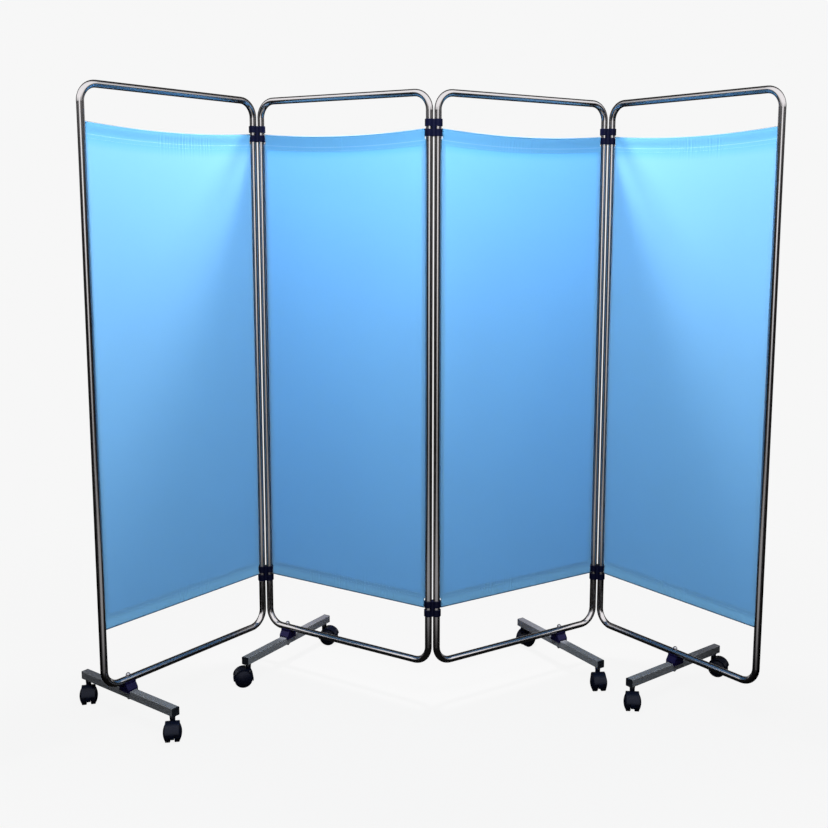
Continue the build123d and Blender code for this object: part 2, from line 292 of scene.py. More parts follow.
def puckers(cloth, panel, shares, across, depth, turn, strength):
    """Out-of-plane puckers of a gathered hem, at a depth below its fold.

    The sum of three waves of unlike pitch, with a slow drift in their depth, inside a stretch of the width
    that fades at its ends. They are about half as deep at the fold as at the seam, and fade below the
    hem. The whole is scaled by the hem's strength.
    """
    start, end = (share * post_spacing(panel) for share in shares)
    fade = (end - start) * GATHER_END_SHARE
    window = ease(across, start - fade, start + fade) * (1 - ease(across, end - fade, end + fade))
    waves = sum(
        weight * np.sin(2 * pi * across / pitch + turn * (count + 1))
        for count, (weight, pitch) in enumerate(zip(GATHER_WEIGHTS, GATHER_PITCHES)))
    drift = 1 - DRIFT_SHARE + DRIFT_SHARE * np.sin(2 * pi * across / DRIFT_PITCH + DRIFT_TURN * turn)
    below = 1 - ease(depth, cloth.seam, cloth.hem + GATHER_FADE)
    at_fold = AT_FOLD_SHARE + (1 - AT_FOLD_SHARE) * ease(depth, 0, cloth.seam * FULL_DEPTH_SHARE)
    return cloth.gather * window * waves * drift * below * at_fold * strength


def billows(cloth, panel, across, height_share):
    """Broad soft waves of the hanging cloth, none at the hems.

    Two slanting sine waves across the panel and up it, both scaled by the sine of the height's share.
    """
    width_share = across / post_spacing(panel)
    waves = sum(
        weight * np.sin(2 * pi * (waves_across * width_share + waves_up * height_share) + turn * panel)
        for waves_across, waves_up, turn, weight in BILLOW_WAVES)
    return cloth.billow * waves * np.sin(pi * np.clip(height_share, 0, 1))


def surface_out(cloth, panel, across, up):
    """How far the cloth's middle stands out of the panel's plane: its puckers and its billows."""
    top = top_edge(cloth, panel, across)
    from_top = np.clip(top - up, 0, None)
    from_bottom = np.clip(up - cloth.bottom, 0, None)
    share = (up - cloth.bottom) / (top - cloth.bottom)
    in_top = puckers(
        cloth, panel, TOP_GATHER_SHARES[panel], across, from_top, TOP_TURN * panel, TOP_STRENGTH)
    in_bottom = puckers(
        cloth, panel, BOTTOM_GATHER_SHARES[panel], across, from_bottom, BOTTOM_TURN * panel, BOTTOM_STRENGTH)
    return in_top + in_bottom + billows(cloth, panel, across, share)


def spread(cloth, panel, across, up):
    """Places across the panel, drawn out so that the side edges lie close to the posts.

    The distance from the panel's middle grows by one factor. On a side that has clips, the factor rises
    smoothly from 1 beside them to its full value between the hems.
    """
    width = post_spacing(panel)
    depth = np.minimum(top_edge(cloth, panel, across) - up, up - cloth.bottom)
    reach = (width / 2 - cloth.body_gap) / (width / 2 - cloth.side_gap) - 1
    from_middle = across - width / 2
    has_no_clips = from_middle * OUTER_SIDES.get(panel, 0) > 0
    return width / 2 + from_middle * (1 + reach * np.where(has_no_clips, 1, ease(depth, *CLIP_REACH)))


# The cloth's grid

GATHER_MARGIN_SHARE = 0.15      # how far the close columns go on past the gathered stretch
FINE_STEP = 0.00160
COARSE_STEP = 0.0060
BODY_ROWS = 56
FOLD_STEPS = 8
HEM_STEP = 0.0024
SEAM_ROWS = (-0.0016, -0.0009, -0.0004, 0.0, 0.0004, 0.0009, 0.0016)

# Marks for the material: painted light and shade on the cloth
# Width of the painted highlight along a seam
SEAM_HIGHLIGHT_WIDTH = 0.0008
FOLD_SHADE_FADE = 1.8      # where the painted shadow along the wire's fold ends, in radii of the pocket
TOP_FOLD_SHADE_SHARE = 0.35
LOWER_SEAM_HIGHLIGHT_SHARE = 0.3
LOWER_HEM_LIGHT_SHARE = 0.55      # of the way to the seam, where the lower hem's painted light starts to fade

SIDE_HEM_COLUMNS = 5
SIDE_HEM_ROWS = 2 * BODY_ROWS
SIDE_HEM_SHADE = 0.6      # how much of the doubled cloth's painted shade the side hems have
BEHIND_CLOTH = 1.15      # how far the side hem's middle lies behind the cloth's, in thicknesses
BEHIND_SIDE_HEM = BEHIND_CLOTH + 0.5      # and its back, where its seam lies


def cloth_columns(cloth, panel):
    """Places across the cloth, close together where it is gathered and wider elsewhere."""
    width = post_spacing(panel)
    both = np.array((TOP_GATHER_SHARES[panel], BOTTOM_GATHER_SHARES[panel])) * width
    start, end = both[:, 0].min(), both[:, 1].max()
    margin = (end - start) * GATHER_MARGIN_SHARE
    stops = (cloth.side_gap, start - margin, end + margin, width - cloth.side_gap)
    runs = [
        np.arange(first, last, step)
        for first, last, step in zip(stops, stops[1:], (COARSE_STEP, FINE_STEP, COARSE_STEP))]
    return np.append(np.concatenate(runs), stops[-1])


def cloth_rows(cloth):
    """The cloth's path from the back of its bottom hem, up the front and over into its top hem.

    Each row is a share of the height, a step up from there and how far it stands out, with marks of
    painted light and shade for the material: painted shade where the top hem has two layers, a painted
    highlight near a pocket seam, a painted shadow near the fold over a wire and painted light on the lower
    hem.
    """
    fold_turn = np.linspace(0, pi / 2, FOLD_STEPS + 1)
    fold = cloth.pocket * (1 - np.cos(fold_turn))
    steps = np.arange(cloth.pocket + HEM_STEP, cloth.hem - HEM_STEP / 2, HEM_STEP)
    steps = steps[np.abs(steps - cloth.seam) > HEM_STEP]
    depth = np.sort(np.concatenate((fold, steps, cloth.seam + np.array(SEAM_ROWS), [cloth.hem])))
    gap = hem_gap(cloth, depth)
    # painted highlight along the pocket seam
    highlight_near_seam = np.exp(-((depth - cloth.seam) / SEAM_HIGHLIGHT_WIDTH) ** 2)
    # painted shadow along the fold over the wire, deepest at the bottom hem
    shade_near_fold = 1 - ease(depth, cloth.pocket, cloth.pocket * FOLD_SHADE_FADE)
    # painted light: the lower hem paler than the cloth above it
    pale = 1 - ease(depth, cloth.seam * LOWER_HEM_LIGHT_SHARE, cloth.hem)
    beyond = np.linspace(0, 1, BODY_ROWS + 1)[1:-1]
    share = np.concatenate((0 * depth, 0 * depth[1:], beyond, 1 + 0 * depth, 1 + 0 * depth[1:]))
    body_step = (1 - 2 * beyond) * cloth.hem
    step = np.concatenate((depth[::-1], depth[1:], body_step, -depth[::-1], -depth[1:]))
    out = np.concatenate((-gap[::-1], gap[1:], 0 * beyond + gap[-1], gap[::-1], -gap[1:]))
    # Painted shade on the doubled top hem, and painted light, highlight and shadow along the hems
    marks = {
        name: np.concatenate((low[::-1], low[1:], 0 * beyond, high[::-1], high[1:]))
        for name, low, high in (
            ("painted_doubled_shade", 0 * depth, 1 + 0 * depth), ("painted_seam_highlight", highlight_near_seam * LOWER_SEAM_HIGHLIGHT_SHARE, highlight_near_seam),
            ("painted_fold_shade", shade_near_fold, shade_near_fold * TOP_FOLD_SHADE_SHARE), ("painted_lower_hem_light", pale, 0 * pale))}
    return share, step, out, marks


def path_length(points):
    """Length along each column of a grid of points, from its first row."""
    steps = np.linalg.norm(np.diff(points, axis=0), axis=-1)
    return np.concatenate((np.zeros((1, points.shape[1])), np.cumsum(steps, axis=0)))


def cloth_sheet(cloth, panel, material):
    """One panel's cloth with both hems, as one unbroken sheet."""
    across = cloth_columns(cloth, panel)[None, :]
    *rows, marks = cloth_rows(cloth)
    share, step, out = (row[:, None] for row in rows)
    up = cloth.bottom + share * (top_edge(cloth, panel, across) - cloth.bottom) + step
    stand = out + surface_out(cloth, panel, across, up)
    points = in_panel(panel, spread(cloth, panel, across, up), up, stand)
    grid = points.shape[:2]
    piece = cloth_piece("cloth", panel, points, grid_faces(*grid).tolist(), material)
    length = path_length(points).mean(axis=1, keepdims=True)
    give_flat_map(piece.data, np.stack(np.broadcast_arrays(across, length), axis=-1))
    for name, value in marks.items():
        give_mark(piece.data, name, np.broadcast_to(value[:, None], grid))
    thicken(piece, cloth.thickness)
    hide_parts(f"panel_{panel}_cloth")
    return piece, (post_spacing(panel) - 2 * cloth.body_gap, float(length[-1, 0]))


def side_hems(cloth, panel, material):
    """The narrow hems behind both side edges, between the top and bottom hems."""
    width = post_spacing(panel)
    share = np.linspace(0, 1, SIDE_HEM_ROWS)[:, None]
    stand = hem_gap(cloth, cloth.hem) - BEHIND_CLOTH * cloth.thickness
    points, faces, flat = [], [], []
    for start in (cloth.side_gap, width - cloth.side_gap - cloth.side_hem):
        across = np.linspace(start, start + cloth.side_hem, SIDE_HEM_COLUMNS)[None, :]
        top = top_edge(cloth, panel, across)
        up = cloth.bottom + share * (top - cloth.bottom) + (1 - 2 * share) * cloth.hem
        behind = surface_out(cloth, panel, across, up) + stand
        strip = in_panel(panel, spread(cloth, panel, across, up), up, behind)
        faces.append(grid_faces(*strip.shape[:2]) + sum(len(block) for block in points))
        points.append(strip.reshape(-1, 3))
        flat.append(np.stack(np.broadcast_arrays(across, up), axis=-1).reshape(-1, 2))
    piece = cloth_piece(
        "side_hems", panel, np.concatenate(points), np.concatenate(faces).tolist(), material)
    give_flat_map(piece.data, np.concatenate(flat))
    # painted shade of the doubled side hems
    give_mark(piece.data, "painted_doubled_shade", np.full(len(piece.data.vertices), SIDE_HEM_SHADE))
    thicken(piece, cloth.thickness)
    return piece


# The seams

STITCH_PITCH = 0.0033
STITCH_LENGTH = 0.0026
THREAD_RADIUS = 0.00022
STITCH_STATIONS = (-0.62, 0.0, 0.62)
STITCH_SIDES = 4
EDGE_INSET = 0.0025      # from a hem's edge to its seam


def stitch_template():
    """One stitch as shares: along it, round it and out of the cloth, with a pole at each end."""
    turn = np.linspace(0, 2 * pi, STITCH_SIDES, endpoint=False)
    along = np.repeat(STITCH_STATIONS, STITCH_SIDES)
    girth = np.sqrt(1 - along ** 2)
    beside = np.tile(np.cos(turn), len(STITCH_STATIONS)) * girth
    out = np.tile(np.sin(turn), len(STITCH_STATIONS)) * girth
    shares = np.stack((along, beside, out), axis=-1)
    poles = np.array(((-1, 0, 0), (1, 0, 0)))
    rings = np.arange(len(along)).reshape(len(STITCH_STATIONS), STITCH_SIDES)
    following = np.roll(rings, -1, axis=1)
    first = np.stack((following[0], rings[0], 0 * rings[0] + len(along)), axis=-1)
    last = np.stack((rings[-1], following[-1], 0 * rings[-1] + len(along) + 1), axis=-1)
    return np.concatenate((shares, poles)), ring_faces(rings), np.concatenate((first, last))


def seam_stitches(cloth, panel, across, up, upright, front_out, back_out):
    """Stitches at given places on both faces of the cloth, as points.

    A stitch is a spindle: its girth is the root of 1 less its share of the length squared, times the
    thread's radius, laid along the seam on the cloth's surface.
    """
    shares = stitch_template()[0][None]
    length = shares[..., 0] * STITCH_LENGTH / 2
    beside = shares[..., 1] * THREAD_RADIUS
    here_across = across[:, None] + (beside if upright else length)
    here_up = up[:, None] + (length if upright else beside)
    middle = surface_out(cloth, panel, here_across, here_up)
    lift = shares[..., 2] * THREAD_RADIUS
    faces = [
        in_panel(panel, spread(cloth, panel, here_across, here_up), here_up,
                 middle + stand + side * (lift + THREAD_RADIUS / 2))
        for side, stand in ((1, front_out), (-1, back_out))]
    return [block.reshape(-1, 3) for block in faces]


def seams(cloth, panel, material):
    """Every seam of one panel: two along each of the top and bottom hems and one in each side hem."""
    width = post_spacing(panel)
    blocks = []
    close = hem_gap(cloth, cloth.hem) + cloth.thickness / 2
    row = np.arange(cloth.side_gap + STITCH_PITCH, width - cloth.side_gap - STITCH_PITCH / 2, STITCH_PITCH)
    for depth in (cloth.seam, cloth.hem - EDGE_INSET):
        for up in (top_edge(cloth, panel, row) - depth, np.full_like(row, cloth.bottom + depth)):
            blocks += seam_stitches(cloth, panel, row, up, False, close, -close)
    column = np.arange(cloth.bottom + cloth.hem, cloth.top - cloth.sag - cloth.hem, STITCH_PITCH)
    inset = cloth.side_hem - EDGE_INSET
    behind = hem_gap(cloth, cloth.hem) - BEHIND_SIDE_HEM * cloth.thickness
    for across in (cloth.side_gap + inset, width - cloth.side_gap - inset):
        blocks += seam_stitches(cloth, panel, np.full_like(column, across), column, True, close, behind)
    points = np.concatenate(blocks)
    shares, quads, ends = stitch_template()
    first_points = np.arange(0, len(points), len(shares))[:, None, None]
    all_quads = (quads[None] + first_points).reshape(-1, 4)
    all_ends = (ends[None] + first_points).reshape(-1, 3)
    return cloth_piece("seams", panel, points, all_quads.tolist() + all_ends.tolist(), material)


# Shader nodes

def feed(tree, socket, value):
    """Gives an input its value, or links it to the output that has it."""
    if isinstance(value, NodeSocket):
        tree.links.new(value, socket)
    else:
        socket.default_value = value


def add_node(tree, kind, **settings):
    """A new node with its settings: an attribute of the node, or else the input of that name."""
    node = tree.nodes.new(kind)
    for name, value in settings.items():
        if hasattr(node, name):
            setattr(node, name, value)
        else:
            feed(tree, node.inputs[name.replace("_", " ")], value)
    return node


def arithmetic(tree, operation, first, second=0.0, clamp=False):
    """A Math node's output, from two numbers or outputs."""
    node = add_node(tree, "ShaderNodeMath", operation=operation, use_clamp=clamp)
    feed(tree, node.inputs[0], first)
    feed(tree, node.inputs[1], second)
    return node.outputs[0]


def balance(tree, share, first, second):
    """The first value where a share is 0 and the second where it is 1, and between them a sum of both."""
    rest = arithmetic(tree, "SUBTRACT", 1.0, share)
    return arithmetic(tree, "ADD", arithmetic(tree, "MULTIPLY", rest, first),
                      arithmetic(tree, "MULTIPLY", share, second))


def rising(tree, value, start, end, low=0.0, high=1.0, interpolation="SMOOTHSTEP"):
    """A step of an output's value, from low at start to high at end."""
    node = add_node(
        tree, "ShaderNodeMapRange", interpolation_type=interpolation, Value=value,
        From_Min=start, From_Max=end, To_Min=low, To_Max=high)
    return node.outputs["Result"]


def product_of_steps(tree, values, steps):
    """The product of smooth steps, each given by its value's name and the numbers of its step."""
    result, *others = [rising(tree, values[name], *numbers) for name, *numbers in steps]
    for other in others:
        result = arithmetic(tree, "MULTIPLY", result, other)
    return result


def noise(tree, place, **settings):
    """A noise's value at a place."""
    return add_node(tree, "ShaderNodeTexNoise", Vector=place, **settings).outputs["Fac"]


def parts(tree, vector):
    """A vector's parts, by their letters."""
    return add_node(tree, "ShaderNodeSeparateXYZ", Vector=vector).outputs


def stretched(tree, place, factors):
    """A place, each part of it times its own factor."""
    node = add_node(tree, "ShaderNodeVectorMath", operation="MULTIPLY")
    feed(tree, node.inputs[0], place)
    feed(tree, node.inputs[1], factors)
    return node.outputs[0]


def mixed_colour(tree, share, first, second):
    """One colour over to another, by a share."""
    node = add_node(tree, "ShaderNodeMix", data_type="RGBA", Factor=share)
    first_socket, second_socket = (socket for socket in node.inputs if socket.type == "RGBA")
    feed(tree, first_socket, first)
    feed(tree, second_socket, second)
    return next(socket for socket in node.outputs if socket.type == "RGBA")


def mixed_surface(tree, share, first, second):
    """One shader over to another, by a share."""
    node = tree.nodes.new("ShaderNodeMixShader")
    for socket, value in zip(node.inputs, (share, first, second)):
        feed(tree, socket, value)
    return node.outputs[0]


def opaque(colour):
    """A colour with full alpha."""
    return (*colour, 1.0)


# Shader node groups

NOISE_RANGE = (0.3, 0.7)      # where most of a noise's values lie
GRAIN_SHARE = 0.4      # of the fine grain in the roughness, the rest being patches
STREAK_SHARE = 0.5      # of the fine lines in the roughness, the rest being smears
FACING_UP = (0.2, 0.95, 0.15, 1.0)      # the dust's level by how far a face looks up
DUST_PATCHES = (0.35, 0.70)
WEAVE_LIFT = 0.3      # how far a thread goes over and under the others
SLUB_STRETCH = (1600.0, 40.0, 1.0)
CLOUD_SHARE = 0.5      # of the broad clouds in the cloth's tone, the rest being slubs


def new_group(name, inputs, outputs):
    """An empty node group with its sockets, and its input and output nodes' own."""
    group = bpy.data.node_groups.new(name, "ShaderNodeTree")
    for direction, sockets in (("INPUT", inputs), ("OUTPUT", outputs)):
        for socket_name, kind, *value in sockets:
            socket = group.interface.new_socket(
                socket_name, in_out=direction, socket_type=f"NodeSocket{kind}")
            if value:
                socket.default_value = value[0]
    return group, group.nodes.new("NodeGroupInput").outputs, group.nodes.new("NodeGroupOutput").inputs


def moulded_grain_group():
    """Fine grain of a moulded or painted surface: a roughness and a height for its bump."""
    group, given, result = new_group(
        "moulded_grain",
        [("Vector", "Vector"), ("Scale", "Float", 900.0), ("Smooth", "Float", 0.3), ("Rough", "Float", 0.4)],
        [("Roughness", "Float"), ("Height", "Float")])
    fine = noise(group, given["Vector"], Scale=given["Scale"], Detail=3.0)
    patches = noise(group, given["Vector"], Scale=14.0, Detail=4.0)
    share = balance(group, GRAIN_SHARE, patches, fine)
    roughness = rising(group, share, *NOISE_RANGE, given["Smooth"], given["Rough"], "LINEAR")
    feed(group, result["Roughness"], roughness)
    feed(group, result["Height"], fine)
    return group


def settled_dust_group():
    """Pale dust on faces that look up, broken into patches, over a colour."""
    group, given, result = new_group(
        "settled_dust",
        [("Vector", "Vector"), ("Colour", "Color"), ("Dust", "Color", (0.30, 0.31, 0.33, 1.0)),
         ("Amount", "Float", 0.1)],
        [("Colour", "Color"), ("Mask", "Float")])
    normal = group.nodes.new("ShaderNodeNewGeometry").outputs["Normal"]
    level = rising(group, parts(group, normal)["Z"], *FACING_UP)
    patches = noise(group, given["Vector"], Scale=55.0, Detail=5.0, Roughness=0.65)
    broken = rising(group, patches, *DUST_PATCHES)
    mask = arithmetic(group, "MULTIPLY", arithmetic(group, "MULTIPLY", level, broken), given["Amount"], True)
    feed(group, result["Colour"], mixed_colour(group, mask, given["Colour"], given["Dust"]))
    feed(group, result["Mask"], mask)
    return group


def woven_threads_group():
    """A plain weave on the flat cloth: over and under threads as a height, with slubs in the colour.

    The height is the greater of two sets of threads. Each is the size of a sine across its threads, plus
    a smaller sine along them that lifts one set where it lowers the other.
    """
    group, given, result = new_group(
        "woven_threads",
        [("Vector", "Vector"), ("Pitch", "Float", 0.0005), ("Colour", "Color"), ("Slub", "Float", 0.06)],
        [("Colour", "Color"), ("Height", "Float")])
    flat = parts(group, given["Vector"])
    sines = {}
    for axis in "XY":
        turn = arithmetic(group, "DIVIDE", arithmetic(group, "MULTIPLY", flat[axis], pi), given["Pitch"])
        sines[axis] = arithmetic(group, "SINE", turn)
    crowns = [
        arithmetic(group, "ADD", arithmetic(group, "MULTIPLY", sines[along], lift),
                   arithmetic(group, "ABSOLUTE", sines[across]))
        for across, along, lift in (("X", "Y", WEAVE_LIFT), ("Y", "X", -WEAVE_LIFT))]
    slubs = noise(group, stretched(group, given["Vector"], SLUB_STRETCH), Scale=1.0, Detail=3.0)
    clouds = noise(group, given["Vector"], Scale=5.0, Detail=2.0)
    middle = sum(NOISE_RANGE) / 2
    deviation = arithmetic(group, "SUBTRACT", balance(group, CLOUD_SHARE, slubs, clouds), middle)
    tone = arithmetic(group, "ADD", arithmetic(group, "MULTIPLY", deviation, given["Slub"]), 1.0)
    shade = add_node(group, "ShaderNodeVectorMath", operation="SCALE", Scale=tone)
    feed(group, shade.inputs[0], given["Colour"])
    feed(group, result["Colour"], shade.outputs[0])
    feed(group, result["Height"], arithmetic(group, "MAXIMUM", *crowns))
    return group


def drawn_streaks_group():
    """Fine lines along drawn and polished metal, as a roughness and a height."""
    group, given, result = new_group(
        "drawn_streaks",
        [("Vector", "Vector"), ("Stretch", "Vector", (700.0, 700.0, 6.0)), ("Smooth", "Float", 0.15),
         ("Rough", "Float", 0.25)],
        [("Roughness", "Float"), ("Height", "Float")])
    lines = noise(group, stretched(group, given["Vector"], given["Stretch"]), Scale=1.0, Detail=3.0)
    smears = noise(group, given["Vector"], Scale=9.0, Detail=4.0)
    share = balance(group, STREAK_SHARE, smears, lines)
    roughness = rising(group, share, *NOISE_RANGE, given["Smooth"], given["Rough"], "LINEAR")
    feed(group, result["Roughness"], roughness)
    feed(group, result["Height"], lines)
    return group


GROUP_MAKERS = {
    "moulded_grain": moulded_grain_group,
    "settled_dust": settled_dust_group,
    "woven_threads": woven_threads_group,
    "drawn_streaks": drawn_streaks_group,
}


def place_group(tree, name, **values):
    """The outputs of one of the shared groups with its values, made at its first use."""
    node = tree.nodes.new("ShaderNodeGroup")
    node.node_tree = bpy.data.node_groups.get(name) or GROUP_MAKERS[name]()
    for socket, value in values.items():
        feed(tree, node.inputs[socket], value)
    return node.outputs


# Materials

GRAIN_BUMP = 0.25
STREAK_BUMP = 0.15
# Tints of painted light and shade: painted shade on doubled cloth, painted light on the lower hem, a painted
# highlight along the seams and a painted shadow along the fold over the wire
PAINTED_LIGHT_AND_SHADE_TINTS = {
    "painted_doubled_shade": (0.74, 0.91, 0.94),
    "painted_lower_hem_light": (1.22, 1.16, 1.06),
    "painted_seam_highlight": (1.14, 1.07, 1.03),
    "painted_fold_shade": (0.22, 0.26, 0.34),
}


def new_material(name, **settings):
    """A material with a Principled shader and its plain settings."""
    material = bpy.data.materials.new(name)
    material.use_nodes = True
    tree = material.node_tree
    tree.nodes.clear()
    shader = add_node(tree, "ShaderNodeBsdfPrincipled", **settings)
    output = tree.nodes.new("ShaderNodeOutputMaterial")
    tree.links.new(shader.outputs[0], output.inputs["Surface"])
    return material, tree, shader


def show_surface(tree, surface):
    """Makes a shader's output the material's surface."""
    output = next(node for node in tree.nodes if node.type == "OUTPUT_MATERIAL")
    tree.links.new(surface, output.inputs["Surface"])


def bump(tree, height, shader, strength, distance):
    """Feeds a height to a shader's normal, which it gives back."""
    normal = add_node(
        tree, "ShaderNodeBump", Strength=strength, Distance=distance, Height=height).outputs["Normal"]
    tree.links.new(normal, shader.inputs["Normal"])
    return normal


def moulded(name, colour, smooth, rough, dust=0.05, scale=900.0, depth=0.00006, **settings):
    """A moulded or painted finish: fine grain, uneven gloss and a little dust on top."""
    material, tree, shader = new_material(name, **settings)
    place = tree.nodes.new("ShaderNodeTexCoord").outputs["Object"]
    grain = place_group(tree, "moulded_grain", Vector=place, Scale=scale, Smooth=smooth, Rough=rough)
    dusty = place_group(tree, "settled_dust", Vector=place, Colour=opaque(colour), Amount=dust)
    tree.links.new(grain["Roughness"], shader.inputs["Roughness"])
    tree.links.new(dusty["Colour"], shader.inputs["Base Color"])
    bump(tree, grain["Height"], shader, GRAIN_BUMP, depth)
    return material


def drawn_metal(name, colour, smooth, rough, stretch, depth=0.00002):
    """A drawn, polished or plated metal with fine lines in one direction."""
    material, tree, shader = new_material(name, Base_Color=opaque(colour), Metallic=1.0)
    place = tree.nodes.new("ShaderNodeTexCoord").outputs["Object"]
    streaks = place_group(
        tree, "drawn_streaks", Vector=place, Stretch=stretch, Smooth=smooth, Rough=rough)
    tree.links.new(streaks["Roughness"], shader.inputs["Roughness"])
    bump(tree, streaks["Height"], shader, STREAK_BUMP, depth)
    return material


def tinted(tree, colour, mark, tint, base):
    """Mixes a colour towards its base times a tint, by a mark that the mesh carries."""
    share = add_node(tree, "ShaderNodeAttribute", attribute_name=mark).outputs["Fac"]
    marked = opaque(min(1.0, value * part) for value, part in zip(base, tint))
    return mixed_colour(tree, share, colour, marked)


def cloth_finish(cloth):
    """Woven cloth that lets some light through.

    It has painted shade where it is doubled, painted light in the lower hem, a painted shadow along the
    fold over the wire and a painted highlight along the seam.
    """
    material, tree, shader = new_material(
        "screen_cloth_finish", Roughness=0.8, Sheen_Weight=0.30, Sheen_Roughness=0.4, Specular_IOR_Level=0.2)
    colour = opaque(cloth.colour)
    for mark, tint in PAINTED_LIGHT_AND_SHADE_TINTS.items():
        colour = tinted(tree, colour, mark, tint, cloth.colour)
    flat = add_node(tree, "ShaderNodeUVMap", uv_map="flat_cloth").outputs["UV"]
    weave = place_group(tree, "woven_threads", Vector=flat, Pitch=0.0006, Colour=colour, Slub=0.07)
    tree.links.new(weave["Colour"], shader.inputs["Base Color"])
    normal = bump(tree, weave["Height"], shader, strength=0.3, distance=0.00012)
    through = add_node(tree, "ShaderNodeBsdfTranslucent", Color=weave["Colour"], Normal=normal)
    show_surface(tree, mixed_surface(tree, cloth.translucency, shader.outputs[0], through.outputs[0]))
    return material


def thread_finish(cloth):
    """Smooth sewing thread."""
    return moulded("sewing_thread", cloth.thread, smooth=0.55, rough=0.75, dust=0.0, scale=4000.0,
                   depth=0.00002)


def dress(names, material):
    """Gives CAD nodes their finish."""
    for name in names:
        for slot in frame["nodes"][name].material_slots:
            slot.material = material


# The pieces

TUBE_GLOSS_FACTORS = (0.94, 1.12)


class SCREEN_OT_frame_tubes(Operator):
    """Polish the four bent tube frames"""
    bl_idname = "ward_screen.frame_tubes"
    bl_label = "Frame tubes"

    def execute(self, context):
        metal = context.scene.screen_metal
        smooth, rough = (metal.tube_gloss * factor for factor in TUBE_GLOSS_FACTORS)
        finish = drawn_metal(
            "polished_tube", metal.tube, smooth, rough, stretch=(260.0, 260.0, 40.0), depth=0.000008)
        dress([f"panel_{panel}_frame" for panel in PANELS], finish)
        return {"FINISHED"}


class SCREEN_OT_cloths(Operator):
    """Hang the four cloths on their wires, with hems, puckers and seams"""
    bl_idname = "ward_screen.cloths"
    bl_label = "Cloths"

    def execute(self, context):
        cloth = context.scene.screen_cloth
        woven, thread = cloth_finish(cloth), thread_finish(cloth)
        for panel in PANELS:
            sheet, flat = cloth_sheet(cloth, panel, woven)
            extras = [side_hems(cloth, panel, woven), seams(cloth, panel, thread)]
        return {"FINISHED"}


class SCREEN_OT_wires(Operator):
    """Finish the wires that carry the cloths"""
    bl_idname = "ward_screen.wires"
    bl_label = "Wires"

    def execute(self, context):
        finish = drawn_metal("spring_wire", context.scene.screen_metal.wire, smooth=0.25, rough=0.4,
                             stretch=(40.0, 40.0, 900.0))
        dress([f"panel_{panel}_wires" for panel in PANELS], finish)
        return {"FINISHED"}


class SCREEN_OT_clips(Operator):
    """Finish the hinge clips"""
    bl_idname = "ward_screen.clips"
    bl_label = "Hinge clips"

    def execute(self, context):
        finish = moulded("clip_plastic", context.scene.screen_plastic.clip, smooth=0.24, rough=0.42,
                         dust=0.005, Specular_IOR_Level=0.06)
        dress([f"clips_{pair}" for pair in PAIRS], finish)
        return {"FINISHED"}


class SCREEN_OT_feet(Operator):
    """Finish the foot bars, their plugs, saddles, bolts and nuts"""
    bl_idname = "ward_screen.feet"
    bl_label = "Feet"

    def execute(self, context):
        metal, plastic = context.scene.screen_metal, context.scene.screen_plastic
        finishes = {
            "foot_bar": moulded("bar_paint", metal.bar, smooth=0.44, rough=0.50, dust=0.02, scale=1400.0,
                                depth=0.000002, Specular_IOR_Level=0.35),
            "end_plugs": moulded("plug_plastic", plastic.plug, smooth=0.35, rough=0.5,
                                 Specular_IOR_Level=0.2),
            "saddle": moulded("saddle_plastic", plastic.saddle, smooth=0.32, rough=0.46, dust=0.01,
                              Specular_IOR_Level=0.08),
            "foot_bolt": drawn_metal("blackened_bolt", metal.bolt, smooth=0.25, rough=0.4,
                                     stretch=(300.0, 300.0, 300.0)),
        }
        for part, finish in finishes.items():
            dress([f"panel_{panel}_{part}" for panel in PANELS], finish)
        return {"FINISHED"}


class SCREEN_OT_casters(Operator):
    """Finish the caster stems, hoods and wheels"""
    bl_idname = "ward_screen.casters"
    bl_label = "Casters"

    def execute(self, context):
        metal, plastic = context.scene.screen_metal, context.scene.screen_plastic
        stem = drawn_metal("blackened_stem", metal.stem, smooth=0.3, rough=0.45,
                           stretch=(300.0, 300.0, 900.0))
        hood = moulded("hood_plastic", plastic.hood, smooth=0.28, rough=0.40, dust=0.005,
                       Specular_IOR_Level=0.08)
        wheel = moulded("wheel_plastic", plastic.wheel, smooth=0.38, rough=0.55, dust=0.01,
                        Specular_IOR_Level=0.08)
        for panel in PANELS:
            dress([f"panel_{panel}_caster_stems"], stem)
            for side in SIDES:
                dress([f"caster_{panel}_{side}_body"], hood)
                dress([f"caster_{panel}_{side}_wheel_{letter}" for letter in WHEELS], wheel)
        return {"FINISHED"}


# The studio

FLOOR_RADIUS = 3.2
FLOOR_START_SHARE = 0.05
FLOOR_POWER = 1.5
FLOOR_RINGS = 24
FLOOR_SPOKES = 96

# Smooth steps by the distance from the middle: where each starts and ends, and its values there
FLOOR_GLOW = (0.9, 2.2, 1.022, 1.0)
FLOOR_SHARE = (0.9, 2.2, 0.94, 1.0)

# Smooth steps whose product is a brightness in gloss. Beside is the size of X, away is Y and up is Z, of
# a place on the floor or of a ray's direction in the room.
FLOOR_STRETCH = (("away", -0.9, -0.4, 1.0, 0.02), ("beside", 0.5, 1.1, 1.0, 0.03))
CEILING = (("up", 0.05, 0.35, 0.0, 3.1), ("away", -0.05, 0.35, 1.0, 0.0))
LOW_BAND = (("away", 0.30, 0.75, 0.0, 1.1), ("up", -0.10, 0.02, 0.0, 1.0), ("up", 0.06, 0.14, 1.0, 0.04))
WINDOW = (("away", -0.60, -0.30, 3.3, 0.0), ("beside", 0.12, 0.45, 1.0, 0.0), ("up", -0.25, 0.05, 0.20, 1.0))
DARK_SIDES = 0.03

